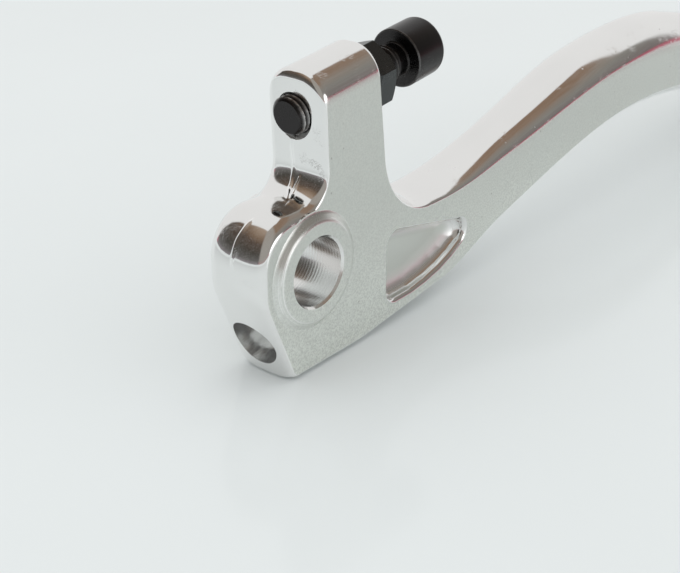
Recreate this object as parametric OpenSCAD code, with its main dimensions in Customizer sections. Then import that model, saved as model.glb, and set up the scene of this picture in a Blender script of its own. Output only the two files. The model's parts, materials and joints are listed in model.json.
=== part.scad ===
// Brake lever with a threaded adjuster screw and its lock nut.
// Origin at the middle of the pivot bore, X along the blade, Y along the bore, Z up the adjuster arm.

/* [Forging] */
// Thickness of the head, the arm and the web, across the flat faces
body_thickness = 9.2; // [8.4:0.1:11.4]
// Distance from the pivot down to the edge the lever stands on
foot_drop = 14.3; // [13.4:0.1:16.6]
// Distance from the pivot forward to the lower front corner
foot_reach = 4.4; // [3.6:0.1:5.6]
// Distance from the pivot back to the end of the straight foot
foot_end = 9.6; // [8:0.1:12]
// Width of the flat strip the lever stands on, along the middle of the foot
foot_flat = 2.8; // [1.6:0.1:4]
// Distance from the pivot forward to the round front of the head
head_reach = 10.2; // [9.4:0.1:11.8]
// Distance from the pivot up to the flat top of the head
head_rise = 9; // [8.2:0.1:10.4]
// Radius of the round front of the head
head_round = 6.6; // [5:0.1:8.2]
// How far the polished rim of the head stands out beyond its flat faces
head_crown = 2; // [0.8:0.1:2.5]
// How far the foot and the lower front rim stand out beyond the flat faces
foot_crown = 1; // [0.5:0.1:1.5]

/* [Pivot] */
// Diameter of the pivot bore
pivot_bore_d = 9; // [7:0.1:10.4]
// Diameter of the round land about the pivot bore
pivot_land_d = 15.2; // [13.4:0.1:16.4]
// Height of the land above the flat face
pivot_land_rise = 0.8; // [0.7:0.1:1.2]
// Radius of the land's rounded edge
pivot_land_round = 0.5; // [0.2:0.1:0.6]
// Width of the chamfer at each mouth of the pivot bore
pivot_chamfer = 0.3; // [0.1:0.05:0.5]
// Diameter of the blind seat drilled into the lower front rim
rim_seat_d = 6.9; // [5:0.1:7.1]
// Depth of the blind seat, measured from the rim
rim_seat_depth = 4.8; // [3:0.1:5.2]
// Height of the blind seat below the pivot
rim_seat_drop = 9.1; // [8.4:0.1:9.8]

/* [Adjuster arm] */
// Distance from the pivot back to the front face of the arm
arm_front = 1.6; // [0.8:0.1:2.4]
// Height of the screw axis above the pivot, at the front face of the arm
screw_height = 18.8; // [17.4:0.1:23]
// Depth of the arm along the screw axis
arm_depth = 11.7; // [9.8:0.1:14]
// Slope of the screw axis, upward from the X axis
screw_slope = 7; // [0:0.5:10]
// Height of the rounded top of the arm above the screw axis
arm_cap_rise = 5.4; // [4.8:0.1:6.6]
// How far the rounded top of the arm stands above the flat faces
arm_cap_crown = 4; // [3:0.1:4.2]
// Radius of the hollow where the arm meets the head
front_fillet = 3.5; // [2:0.1:4.6]
// Radius of the hollow where the arm meets the blade
back_fillet = 10; // [7:0.1:11.4]

/* [Blade] */
// Distance from the pivot to the ball at the blade's end
ball_reach = 158; // [136:1:185]
// Diameter of the ball at the blade's end
ball_d = 16; // [14:0.1:20]
// Thickness of the blade where the fingers pull, across the flat faces
grip_thickness = 12.1; // [10.4:0.1:13.6]
// Thickness of the blade next to the ball, across the flat faces
tip_thickness = 10.2; // [9:0.1:12.6]
// Height of the blade where it leaves the pocketed web
root_height = 14.3; // [13.2:0.1:15.4]
// Height of the blade halfway up its slope
neck_height = 12.6; // [10.8:0.1:14.4]
// Height of the blade at its shoulder
shoulder_height = 12.5; // [11:0.1:15.4]
// Height of the blade where the fingers pull
grip_height = 14.5; // [10:0.1:15.4]
// Height of the blade next to the ball
tip_height = 10; // [8:0.1:12]
// Height of the blade's middle above the pivot, halfway up its slope
neck_lift = -1.2; // [-3:0.1:1]
// Height of the blade's middle above the pivot, at its shoulder
shoulder_lift = 6.2; // [3:0.1:9.6]
// Height of the blade's middle above the pivot, where the fingers pull
grip_lift = 5.9; // [1:0.1:8.6]

/* [Pocket] */
// Depth of the pocket in each flat face of the web
pocket_depth = 2.4; // [1:0.1:2.8]
// Width of the solid rim left below the pocket, without the edge's own rounding
pocket_rim = 2.1; // [1.6:0.1:3]
// Distance from the pivot to the pocket's front edge
pocket_front = 14.6; // [12:0.1:16]
// Distance from the pivot to the pocket's round far end
pocket_far = 34.4; // [29:0.1:36.4]

/* [Adjuster screw] */
// Outer diameter of the thread
thread_d = 5; // [4:0.1:5.6]
// Gap all round between the thread and the holes it runs in
thread_clearance = 0.05; // [0.02:0.01:0.1]
// How far the thread's tip stands out of the arm's front face
tip_out = 1.2; // [0.8:0.1:4]
// Length of the chamfer on the thread's tip
tip_chamfer = 0.3; // [0.2:0.05:0.6]
// Diameter of the smooth contact head
contact_head_d = 8; // [6.8:0.1:9.6]
// Length of the smooth contact head
contact_head_length = 5.8; // [4:0.1:8]
// Radius of the contact head's far edge
contact_head_round = 0.8; // [0.3:0.1:1.5]
// Length of bare thread between the lock nut and the contact head
thread_showing = 5; // [3:0.1:9]

/* [Lock nut] */
// Width across the flats of the lock nut
nut_across_flats = 8; // [7:0.1:9]
// Thickness of the lock nut
nut_thickness = 3.6; // [2.6:0.1:5]

/* [Hidden] */

$fn = 48;
overlap = 0.01;
// How far the cutting shapes run past the faces they open.
cut_past = 3;
half_body = body_thickness / 2;
half_grip = grip_thickness / 2;
half_tip = tip_thickness / 2;

// The rim is lofted in this many steps from the parting line to each flat face.
rim_steps = 5;
// Steps in each rounded corner of the outline, and lengths along the blade.
corner_steps = 8;
blade_steps = 26;

// The trimmed parting line leaves a narrow flat round the middle of every rim.
half_parting = 0.4;
body_round = half_body - half_parting;
grip_round = half_grip - half_parting;
tip_round = half_tip - half_parting;

// The rim of each stretch of outline: how far it stands out, and how deep its rounding reaches.
foot_rim = [foot_crown, half_body - foot_flat / 2];
front_rim = [foot_crown, body_round];
head_rim = [head_crown, body_round];
arm_front_rim = [1.1, body_round];
arm_cap_rim = [arm_cap_crown, body_round];
arm_back_rim = [0.8, body_round];
web_top_rim = [1.2, body_round];

// Top rims of the blade at its neck, its shoulder, its grip and its end.
neck_top_rim = [2.7, 3.4];
shoulder_top_rim = [3.9, grip_round];
grip_top_rim = [6.4, grip_round];
tip_top_rim = [4.2, tip_round];

// How far the blade's lower rim stands out at the same four places.
neck_low_crown = 1.3;
shoulder_low_crown = 1.8;
grip_low_crown = 2.6;
tip_low_crown = 3.8;

// The screw axis, and the arm's faces on it.
screw_run = [cos(screw_slope), sin(screw_slope)];
screw_up = [-sin(screw_slope), cos(screw_slope)];
arm_back_crest = 0.3;
arm_face = [arm_front, screw_height];
arm_back = arm_face + (arm_depth + arm_back_crest) * screw_run;

// The blade starts at the web and ends inside the ball.
web_end = 28.8;
web_foot_rise = 2.1;
ball_bury = 2.4;
root_lift = -foot_drop + web_foot_rise + root_height / 2;
ball_lift = ball_d / 2 - foot_drop;
blade_end = ball_reach - ball_d / 2 + ball_bury;
blade_run = blade_end - web_end;
neck_share = 0.12;
shoulder_share = 0.36;
grip_share = 0.58;

// Blade station: distance, middle height, height, half thickness, top rim, its depth, lower rim.
function station(share, lift, height, half, top_rim, low_crown) =
    [web_end + share * blade_run, lift, height, half, top_rim[0], top_rim[1], low_crown];
stations = [
    station(0, root_lift, root_height, half_body, web_top_rim, foot_crown),
    station(neck_share, neck_lift, neck_height, half_body, neck_top_rim, neck_low_crown),
    station(shoulder_share, shoulder_lift, shoulder_height, half_grip, shoulder_top_rim, shoulder_low_crown),
    station(grip_share, grip_lift, grip_height, half_grip, grip_top_rim, grip_low_crown),
    station(1, ball_lift, tip_height, half_tip, tip_top_rim, tip_low_crown)
];

// A smooth curve through the stations.
function bend(a, b, c, d, t) = let (
        low = (c - a) / (c[0] - a[0]) * (c[0] - b[0]),
        high = (d - b) / (d[0] - b[0]) * (c[0] - b[0]),
        full_low = a == b ? (c - b) : low,
        full_high = c == d ? (c - b) : high
    ) (2 * t ^ 3 - 3 * t ^ 2 + 1) * b + (t ^ 3 - 2 * t ^ 2 + t) * full_low
    + (3 * t ^ 2 - 2 * t ^ 3) * c + (t ^ 3 - t ^ 2) * full_high;
spans = len(stations) - 1;
function blade_at(step) = let (
        reach = web_end + blade_run * step / blade_steps,
        k = max([for (i = [0 : spans - 1]) reach >= stations[i][0] - overlap ? i : 0]),
        t = (reach - stations[k][0]) / (stations[k + 1][0] - stations[k][0])
    ) bend(stations[max(k - 1, 0)], stations[k], stations[k + 1], stations[min(k + 2, spans)], t);
blade = [for (i = [0 : blade_steps]) blade_at(i)];
function blade_foot(b) = b[1] - b[2] / 2;
function blade_crest(b) = b[1] + b[2] / 2;

// Corners of the outline.
foot_front = [-foot_reach, -foot_drop];
foot_back = [foot_end, -foot_drop];
web_foot = [web_end, blade_foot(blade[0])];
web_crest = [web_end, blade_crest(blade[0])];
back_corner = arm_back - (arm_back[1] - web_crest[1]) / cos(screw_slope) * screw_up;
cap_back = arm_back + arm_cap_rise * screw_up;
cap_front = arm_face + arm_cap_rise * screw_up;
arm_front_lean = 2.5;
function arm_front_at(z) = [arm_front + (screw_height - z) * tan(arm_front_lean), z];
head_front = [-head_reach, 0];

// Rounding radii of the corners that no size above names.
foot_front_round = 1.2;
foot_back_round = 28;
cap_back_round = 0.6;
cap_front_round = 0.8;
head_front_round = 7.6;

// The outline counter-clockwise: corner, its radius, rim of the edge that follows.
corners = [
    [foot_front, foot_front_round, foot_rim],
    [foot_back, foot_back_round, foot_rim],
    [web_foot, 0, web_top_rim],
    [web_crest, 0, web_top_rim],
    [back_corner, back_fillet, arm_back_rim],
    [cap_back, cap_back_round, arm_cap_rim],
    [arm_front_at(cap_front[1]), cap_front_round, arm_front_rim],
    [arm_front_at(head_rise), front_fillet, head_rim],
    [[-head_reach, head_rise], head_round, head_rim],
    [head_front, head_front_round, front_rim]
];
corner_count = len(corners);
blade_corner = 2;
tightest_corner = 0.15;

function unit(v) = v / norm(v);
function cross_2d(a, b) = a[0] * b[1] - a[1] * b[0];
function edge_line(loop, i, inset) = let (
        a = loop[i][0],
        b = loop[(i + 1) % len(loop)][0],
        run = unit(b - a)
    ) [a + inset * [-run[1], run[0]], run];
function meet(p, q) = p[0] + cross_2d(q[0] - p[0], q[1]) / cross_2d(p[1], q[1]) * p[1];

// One corner of an outline whose two edges are moved in, rounded with a true arc.
function arc_corner(loop, i, before, after, low, high) = let (
        p = edge_line(loop, (i + len(loop) - 1) % len(loop), before),
        q = edge_line(loop, i, after),
        side = cross_2d(p[1], q[1]) > 0 ? 1 : -1,
        radius = max(loop[i][1] - side * (before + after) / 2, tightest_corner),
        angle = acos(p[1] * q[1]),
        start = meet(p, q) - radius * tan(angle / 2) * p[1],
        centre = start + side * radius * [-p[1][1], p[1][0]]
    ) [for (s = [0 : corner_steps]) let (
        a = side * (angle * s / corner_steps - 90),
        out = [p[1][0] * cos(a) - p[1][1] * sin(a), p[1][1] * cos(a) + p[1][0] * sin(a)],
        point = centre + radius * out
    ) [point[0], low + (high - low) * s / corner_steps, point[1]]];

// A rim rounds over from the parting line, at 0 degrees, to the flat face, at 90.
function rim_in(rim, angle) = rim[0] * (1 - cos(angle));
function rim_level(rim, half, side, angle) = side * (half - rim[1] * (1 - sin(angle)));

function corner_points(loop, i, half, side, angle) = let (
        before = loop[(i + len(loop) - 1) % len(loop)][2],
        after = loop[i][2]
    ) arc_corner(loop, i, rim_in(before, angle), rim_in(after, angle),
        rim_level(before, half, side, angle), rim_level(after, half, side, angle));

function blade_foot_point(b, side, angle) = let (rim = [b[6], b[3] - half_parting])
    [b[0], rim_level(rim, b[3], side, angle), blade_foot(b) + rim_in(rim, angle)];
function blade_crest_point(b, side, angle) = let (rim = [b[4], min(b[5], b[3] - half_parting)])
    [b[0], rim_level(rim, b[3], side, angle), blade_crest(b) - rim_in(rim, angle)];

// One ring of the forging: foot, blade out, blade back, arm, head.
function forging_ring(side, angle) = concat(
    [for (i = [0 : blade_corner - 1]) each corner_points(corners, i, half_body, side, angle)],
    [for (b = blade) blade_foot_point(b, side, angle)],
    [for (k = [blade_steps : -1 : 0]) blade_crest_point(blade[k], side, angle)],
    [for (i = [blade_corner + 2 : corner_count - 1]) each corner_points(corners, i, half_body, side, angle)]
);
function loft_sides(count, rings) = [
    for (r = [0 : rings - 2]) for (i = [0 : count - 1]) let (
        a = r * count + i,
        b = r * count + (i + 1) % count
    ) each [[a, b, b + count], [a, b + count, a + count]]];
function reverse(list) = [for (i = [len(list) - 1 : -1 : 0]) list[i]];

// Stock left standing on the body's flat faces, to be milled off true.
flat_stock = 1;
module raw_forging() {
    near_rings = [for (r = [rim_steps : -1 : 0]) forging_ring(-1, 90 * r / rim_steps)];
    far_rings = [for (r = [0 : rim_steps]) forging_ring(1, 90 * r / rim_steps)];
    rings = concat(near_rings, far_rings);
    ring_points = [for (ring = rings) each ring];
    count = len(rings[0]);
    far_start = len(ring_points) - count;
    foot_start = blade_corner * (corner_steps + 1);
    crest_end = foot_start + 2 * blade_steps + 1;

    body_loop = concat([for (i = [0 : foot_start]) i], [for (i = [crest_end : count - 1]) i]);
    loop_count = len(body_loop);
    near_stock = [for (i = body_loop) ring_points[i] - [0, flat_stock, 0]];
    far_stock = [for (i = body_loop) ring_points[far_start + i] + [0, flat_stock, 0]];
    near_stock_start = len(ring_points);
    far_stock_start = near_stock_start + loop_count;
    points = concat(ring_points, near_stock, far_stock);

    stock_faces = [
        reverse([for (k = [0 : loop_count - 1]) near_stock_start + k]),
        [for (k = [0 : loop_count - 1]) far_stock_start + k]
    ];
    stock_walls = [for (k = [0 : loop_count - 1]) let (
        next = (k + 1) % loop_count,
        i = body_loop[k],
        j = body_loop[next]
    ) each [
        [near_stock_start + k, near_stock_start + next, j, i],
        [far_start + i, far_start + j, far_stock_start + next, far_stock_start + k]
    ]];
    blade_flats = [for (k = [0 : blade_steps - 1])
        [foot_start + k, foot_start + k + 1, crest_end - k - 1, crest_end - k]];
    near_blade = [for (face = blade_flats) reverse(face)];
    far_blade = [for (face = blade_flats) [for (i = face) i + far_start]];
    faces = concat(stock_faces, stock_walls, near_blade, far_blade, loft_sides(count, len(rings)));
    polyhedron(points, faces, convexity = 6);
}

// The body's flat faces, milled as far as the web's end.
mill_past = 0.5;
mill_low = [-head_reach - cut_past, -foot_drop - cut_past];
mill_high = [web_end + mill_past, 2 * screw_height];
module forging() {
    difference() {
        raw_forging();
        for (side = [0, 1]) mirror([0, side, 0]) translate([mill_low[0], half_body, mill_low[1]])
            cube([mill_high[0] - mill_low[0], cut_past, mill_high[1] - mill_low[1]]);
    }
}

// Corners of the pocket's mouth, from the middle of the web's end or from the pocket's lower edge.
pocket_top_rise = 5.2;
pocket_far_drop = 0.4;
pocket_heel = 7.4;
pocket_heel_rise = 0.6;
module pocket_cutter() {
    r = pocket_depth;
    low_edge = -foot_drop + foot_crown + pocket_rim + r;
    mouth = [
        [pocket_front + r, root_lift + pocket_top_rise - r],
        [pocket_far - r, root_lift - pocket_far_drop],
        [pocket_far - pocket_heel, low_edge + pocket_heel_rise],
        [pocket_front + r, low_edge]
    ];
    hull() for (p = mouth) translate([p[0], 0, p[1]]) sphere(r = r, $fn = 32);
}

// Placed with the screw axis along Z, its origin where the axis meets the arm's front face.
module on_screw_axis() {
    translate([arm_front, 0, screw_height]) rotate([0, 90 - screw_slope, 0]) children();
}

// A round land with a rounded edge, on both flat faces of the head.
land_top = half_body + pivot_land_rise;
module pivot_land() {
    r = pivot_land_d / 2;
    round_r = pivot_land_round;
    rotate([90, 0, 0]) for (side = [0, 1]) mirror([0, 0, side]) rotate_extrude() union() {
        square([r, land_top - round_r]);
        square([r - round_r, land_top]);
        translate([r - round_r, land_top - round_r]) circle(r = round_r);
    }
}

module pivot_bore() {
    r = pivot_bore_d / 2;
    rotate([90, 0, 0]) {
        cylinder(r = r, h = 2 * (land_top + cut_past), center = true);
        for (side = [0, 1]) mirror([0, 0, side]) translate([0, 0, land_top - pivot_chamfer])
            cylinder(r1 = r, r2 = r + 2 * pivot_chamfer, h = 2 * pivot_chamfer);
    }
}

// The lower front rim runs from the foot corner up to the head.
rim_run = unit(head_front - foot_front);
rim_lean = atan2(-rim_run[0], rim_run[1]);
rim_seat = foot_front + (foot_drop - rim_seat_drop) / rim_run[1] * rim_run;
drill_point = 1.1;
module rim_seat() {
    r = rim_seat_d / 2;
    translate([rim_seat[0], 0, rim_seat[1]]) rotate([0, 90 - rim_lean, 0]) {
        translate([0, 0, -cut_past]) cylinder(r = r, h = cut_past + rim_seat_depth);
        translate([0, 0, rim_seat_depth - overlap]) cylinder(r1 = r, r2 = 0, h = drill_point);
    }
}

hole_r = thread_d / 2 + thread_clearance;
mouth_chamfer = 0.4;
module threaded_hole() {
    on_screw_axis() {
        translate([0, 0, -cut_past]) cylinder(r = hole_r, h = arm_depth + 2 * cut_past);
        translate([0, 0, -cut_past])
            cylinder(r1 = hole_r + mouth_chamfer + cut_past, r2 = hole_r, h = mouth_chamfer + cut_past);
    }
}

// The machined face the lock nut seats on.
seat_cutter_r = 7.5;
module nut_seat() {
    on_screw_axis() translate([0, 0, arm_depth]) cylinder(r = seat_cutter_r, h = cut_past);
}

module lever() {
    color([0.82, 0.83, 0.84]) difference() {
        union() {
            forging();
            pivot_land();
            translate([ball_reach, 0, ball_lift]) sphere(d = ball_d, $fn = 64);
        }
        pivot_bore();
        rim_seat();
        threaded_hole();
        nut_seat();
        for (side = [-1, 1]) translate([0, side * half_body, 0]) pocket_cutter();
    }
}

head_start = arm_depth + nut_thickness + thread_showing;
head_end = head_start + contact_head_length;
head_edge = 0.4;
head_round_steps = 6;
module adjuster_screw() {
    r = thread_d / 2;
    head_r = contact_head_d / 2;
    round_r = contact_head_round;
    color([0.1, 0.1, 0.11]) on_screw_axis() rotate_extrude() polygon(concat(
        [
            [0, -tip_out],
            [r - tip_chamfer, -tip_out],
            [r, -tip_out + tip_chamfer],
            [r, head_start],
            [head_r - head_edge, head_start],
            [head_r, head_start + head_edge]
        ],
        [for (s = [0 : head_round_steps]) let (a = 90 * s / head_round_steps)
            [head_r - round_r + round_r * cos(a), head_end - round_r + round_r * sin(a)]],
        [[0, head_end]]
    ));
}

// The turn the nut was locked at, and the chamfer round both its ends.
nut_turn = 12;
nut_chamfer = 0.5;
nut_face_inset = 0.1;
module lock_nut() {
    flat_r = nut_across_flats / 2;
    corner_r = flat_r / cos(30);
    face_r = flat_r - nut_face_inset;
    blank_r = corner_r + nut_face_inset;
    color([0.13, 0.13, 0.14]) on_screw_axis() translate([0, 0, arm_depth]) difference() {
        intersection() {
            rotate(nut_turn) cylinder(r = corner_r, h = nut_thickness, $fn = 6);
            rotate_extrude() polygon([
                [0, 0],
                [face_r, 0],
                [blank_r, nut_chamfer],
                [blank_r, nut_thickness - nut_chamfer],
                [face_r, nut_thickness],
                [0, nut_thickness]
            ]);
        }
        translate([0, 0, -cut_past]) cylinder(r = hole_r, h = nut_thickness + 2 * cut_past);
    }
}

lever();
adjuster_screw();
lock_nut();
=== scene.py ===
"""Looks of a forged brake lever, its black adjuster screw and its lock nut."""

import json
import math

import bmesh
import bpy
import numpy as np
from mathutils import Matrix, Vector


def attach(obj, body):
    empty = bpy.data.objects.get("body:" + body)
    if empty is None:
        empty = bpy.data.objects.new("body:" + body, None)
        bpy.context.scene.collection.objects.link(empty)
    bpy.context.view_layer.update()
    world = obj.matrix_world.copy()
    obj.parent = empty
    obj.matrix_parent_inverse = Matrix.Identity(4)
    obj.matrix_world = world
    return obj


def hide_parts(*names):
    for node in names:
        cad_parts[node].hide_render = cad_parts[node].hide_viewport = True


bl_info = {
    "name": "Brake Lever",
    "version": (1, 0, 0),
    "blender": (4, 5, 0),
    "location": "View3D > Sidebar > Lever",
    "description": "Builds a forged brake lever with its adjuster screw, lock nut and studio",
    "category": "Object",
}

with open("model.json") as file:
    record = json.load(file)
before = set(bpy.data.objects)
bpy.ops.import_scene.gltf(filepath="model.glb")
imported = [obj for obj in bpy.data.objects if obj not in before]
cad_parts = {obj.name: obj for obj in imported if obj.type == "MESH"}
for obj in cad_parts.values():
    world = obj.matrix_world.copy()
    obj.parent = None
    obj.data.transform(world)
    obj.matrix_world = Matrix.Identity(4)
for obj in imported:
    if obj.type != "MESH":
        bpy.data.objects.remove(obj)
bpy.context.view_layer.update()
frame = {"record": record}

# Lengths in the functions below are in millimetres, and meshes are scaled once, when they are made.
MM = 0.001
MOUNTS = {mount["name"]: mount for mount in frame["record"]["mounts"]}

# Sizes of the forging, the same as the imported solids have.
HALF_BODY = 4.6
HALF_GRIP = 6.05
HALF_TIP = 5.1
HALF_PARTING = 0.4
BODY_ROUND = HALF_BODY - HALF_PARTING
GRIP_ROUND = HALF_GRIP - HALF_PARTING
FOOT_DROP = 14.3
FOOT_CROWN = 1.0
HEAD_REACH = 10.2
HEAD_RISE = 9.0
ARM_FRONT = 1.6
ARM_DEPTH = 11.7
ARM_CREST = 0.3
ARM_LEAN = math.radians(2.5)
CAP_RISE = 5.4
SCREW_HEIGHT = 18.8
SCREW_SLOPE = math.radians(7)
WEB_END = 28.8
BALL_REACH = 158.0
BALL_R = 7.985
BLADE_END = BALL_REACH - 5.6
LAND_R = 7.6
LAND_TOP = 5.4

# Rims of the outline: how far each stands out, and how deep its rounding reaches.
FOOT_RIM = (FOOT_CROWN, HALF_BODY - 1.4)
FRONT_RIM = (FOOT_CROWN, BODY_ROUND)
HEAD_RIM = (2.0, BODY_ROUND)
ARM_FRONT_RIM = (1.1, BODY_ROUND)
ARM_CAP_RIM = (4.0, BODY_ROUND)
ARM_BACK_RIM = (0.8, BODY_ROUND)
WEB_TOP_RIM = (1.2, BODY_ROUND)

# Blade stations: share of its length, middle height, height, half thickness, top rim, lower rim.
BLADE_STATIONS = (
    (0.0, -5.05, 14.3, HALF_BODY, 1.2, BODY_ROUND, FOOT_CROWN),
    (0.12, -1.2, 12.6, HALF_BODY, 2.7, 3.4, 1.3),
    (0.36, 6.2, 12.5, HALF_GRIP, 3.9, GRIP_ROUND, 1.8),
    (0.58, 5.9, 14.5, HALF_GRIP, 6.4, GRIP_ROUND, 2.6),
    (1.0, -6.3, 10.0, HALF_TIP, 4.2, HALF_TIP - HALF_PARTING, 3.8),
)
BLADE_STEPS = 110
# How the stations' values start out at the web, for each unit of reach.
BLADE_START = (1.0, 0.13, -0.18, 0.0, 0.0, 0.0, 0.0)
# Slack for rounding where stations meet, and how softly the top rim nears the half thickness.
STATION_SLACK = 0.01
CREST_EASE = 0.3

# The outline's corners: places along the foot, and rounding radii.
FOOT_FRONT = -4.4
FOOT_BACK = 9.6
TOE_ROUND = 1.2
BELLY_ROUND = 28.0
WEB_ROUND = 10.0
CAP_BACK_ROUND = 0.7
CAP_FRONT_ROUND = 1.25
THROAT_ROUND = 3.5
BROW_ROUND = 6.6
CHIN_ROUND = 7.6
LEAST_CORNER = 1.1
CORNER_STEPS = 42
RUN_STEPS = 10
# The blade takes the place of this corner and the next one.
BLADE_CORNER = 2

# First and last angle and count of the forging's rings, from the flat faces to the parting strip.
FLAT_RINGS = (90, 20, 14)
MIDDLE_RINGS = (19, 0, 20)
STRIP_RINGS = 13
# How sharply a rim has to turn to be burnished and given a painted highlight, in radians for each
# millimetre, and the fade after it.
BURNISH_HIGHLIGHT_FROM = 1.4
BURNISH_HIGHLIGHT_FADE = 1.6

# How deep the lands sink into the body, and how far inside their radius their edge falls.
LAND_SINK = 0.03
LAND_EDGE_IN = 0.5

# Edges sharper than these angles stay sharp, on new meshes and on finished pieces.
SMOOTH_BELOW = 30
SHARP_FROM = 32


def length_property(name, description, size, low, high):
    """A size of the model that a user can change, given here in millimetres."""
    return bpy.props.FloatProperty(
        name=name,
        description=description,
        default=size * MM,
        min=low * MM,
        max=high * MM,
        unit="LENGTH",
        precision=5,
    )


def share_property(name, description, value):
    """A setting from 0 to 1."""
    return bpy.props.FloatProperty(
        name=name, description=description, default=value, min=0.0, max=1.0, subtype="FACTOR"
    )


def colour_property(name, description, colour):
    """A colour that a user can change."""
    return bpy.props.FloatVectorProperty(
        name=name, description=description, default=colour, min=0.0, max=1.0, size=3, subtype="COLOR"
    )


class ForgingSettings(bpy.types.PropertyGroup):
    """Sizes and looks of the forging"""

    metal: colour_property("Metal", "Colour of the polished aluminium", (0.88, 0.88, 0.87))
    tumbled: colour_property("Tumbled metal", "Colour of the satin flat faces", (0.69, 0.71, 0.67))
    satin: share_property("Satin", "Roughness of the tumbled flat faces", 0.36)
    polish: share_property("Polish", "Roughness of the polished rims", 0.09)
    flash_height: length_property("Flash height", "Height of the trimmed parting line", 0.14, 0, 0.3)
    flash_width: length_property("Flash width", "Width of the trimmed parting line", 0.42, 0.1, 1)
    land_edge: length_property("Land edge", "Half width of the soft edge round each land", 0.85, 0.3, 1.2)
    pocket_lip: length_property("Pocket lip", "Depth of the rounded lip of each pocket", 0.75, 0.2, 1.2)


class AdjusterSettings(bpy.types.PropertyGroup):
    """Sizes and looks of the adjuster screw"""

    steel: colour_property("Steel", "Colour of the black oxide", (0.040, 0.038, 0.038))
    sheen: share_property("Sheen", "Roughness of the black oxide", 0.29)
    pitch: length_property("Pitch", "Distance from one thread to the next", 0.8, 0.5, 1.25)
    thread_depth: length_property("Thread depth", "Depth of the thread", 0.32, 0.2, 0.8)
    undercut: length_property("Undercut", "Length of the plain neck beside the contact head", 1.7, 0.2, 3)


class NutSettings(bpy.types.PropertyGroup):
    """Sizes and looks of the lock nut"""

    steel: colour_property("Steel", "Colour of the nut's worn oxide", (0.058, 0.062, 0.062))
    sheen: share_property("Sheen", "Roughness of the nut's oxide", 0.28)
    turn: bpy.props.FloatProperty(
        name="Turn",
        description="Angle that the nut was locked at",
        default=math.radians(12),
        subtype="ANGLE",
    )
    edge: length_property("Edge", "Radius of the hexagon's edges", 0.18, 0.02, 0.5)


class StageSettings(bpy.types.PropertyGroup):
    """Looks of the table and the lights"""

    table: colour_property("Table", "Colour of the table", (0.78, 0.82, 0.82))
    ambient: bpy.props.FloatProperty(
        name="Ambient", description="Level of the light from all round", default=1.0, min=0.0, max=2.0
    )
    overhead: bpy.props.FloatProperty(
        name="Overhead",
        description="Power of the soft lamp above",
        default=0.12,
        min=0.0,
        subtype="POWER",
    )


# Meshes


def mesh_object(name, points, faces):
    """A mesh piece from points in millimetres, smooth but for its sharp edges."""
    mesh = bpy.data.meshes.new(name)
    mesh.from_pydata([tuple(p) for p in np.asarray(points) * MM], [], [tuple(f) for f in faces])
    mesh.validate()
    mesh.shade_smooth()
    mesh.set_sharp_from_angle(angle=math.radians(SMOOTH_BELOW))
    made = bpy.data.objects.new(name, mesh)
    bpy.context.scene.collection.objects.link(made)
    return made


def loft_faces(count, rings, closed_rings=False):
    """Quads between rings that run anticlockwise and are stacked away from the viewer."""
    spans = rings if closed_rings else rings - 1
    return [
        (r * count + i, ((r + 1) % rings) * count + i,
         ((r + 1) % rings) * count + (i + 1) % count, r * count + (i + 1) % count)
        for r in range(spans)
        for i in range(count)
    ]


def fan_closed(steps, rings):
    """Faces of a turned solid: rings of points between one point on the axis at each end."""
    last = 1 + steps * rings
    faces = [(0, 1 + (i + 1) % steps, 1 + i) for i in range(steps)]
    faces += [tuple(1 + v for v in (a, d, c, b)) for a, b, c, d in loft_faces(steps, rings)]
    faces += [(last, last - steps + i, last - steps + (i + 1) % steps) for i in range(steps)]
    return faces


def revolve(profile, steps):
    """Points and faces of a solid turned round Z from (radius, height) pairs, its ends on the axis."""
    angles = 2 * math.pi * np.arange(steps) / steps
    rings = profile[1:-1]
    points = [(0.0, 0.0, profile[0][1])]
    for radius, height in rings:
        points += [(radius * math.cos(a), radius * math.sin(a), height) for a in angles]
    points.append((0.0, 0.0, profile[-1][1]))
    return np.array(points), fan_closed(steps, len(rings))


def arc(centre, radius, start, end, steps):
    """Points of a plane arc, its angles in degrees."""
    angles = np.radians(np.linspace(start, end, steps + 1))
    return [(centre[0] + radius * math.cos(a), centre[1] + radius * math.sin(a)) for a in angles]


def placed(points, matrix):
    """Points moved by a 4 by 4 matrix."""
    turned = np.asarray(matrix)
    return np.asarray(points) @ turned[:3, :3].T + turned[:3, 3]


def outward(made):
    """Face normals of a closed piece turned outwards."""
    work = bmesh.new()
    work.from_mesh(made.data)
    bmesh.ops.recalc_face_normals(work, faces=work.faces)
    work.to_mesh(made.data)
    work.free()
    return made


def joined_by(target, cutter, operation):
    """One boolean of a closed piece with a cutter, which is then removed."""
    step = target.modifiers.new("Boolean", "BOOLEAN")
    step.operation = operation
    step.solver = "EXACT"
    step.material_mode = "TRANSFER"
    step.object = cutter
    bpy.context.view_layer.update()
    shape = bpy.data.meshes.new_from_object(target.evaluated_get(bpy.context.evaluated_depsgraph_get()))
    if len(shape.polygons) < len(target.data.polygons) // 2:
        raise RuntimeError(f"{operation} of {target.name} with {cutter.name} lost the piece")
    target.modifiers.clear()
    target.data = shape
    bpy.data.objects.remove(cutter)


def along_screw():
    """Matrix from a frame with the screw along Z to the lever's frame."""
    start = Matrix.Translation((ARM_FRONT, 0, SCREW_HEIGHT))
    return start @ Matrix.Rotation(math.pi / 2 - SCREW_SLOPE, 4, "Y")


# The forging


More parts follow.
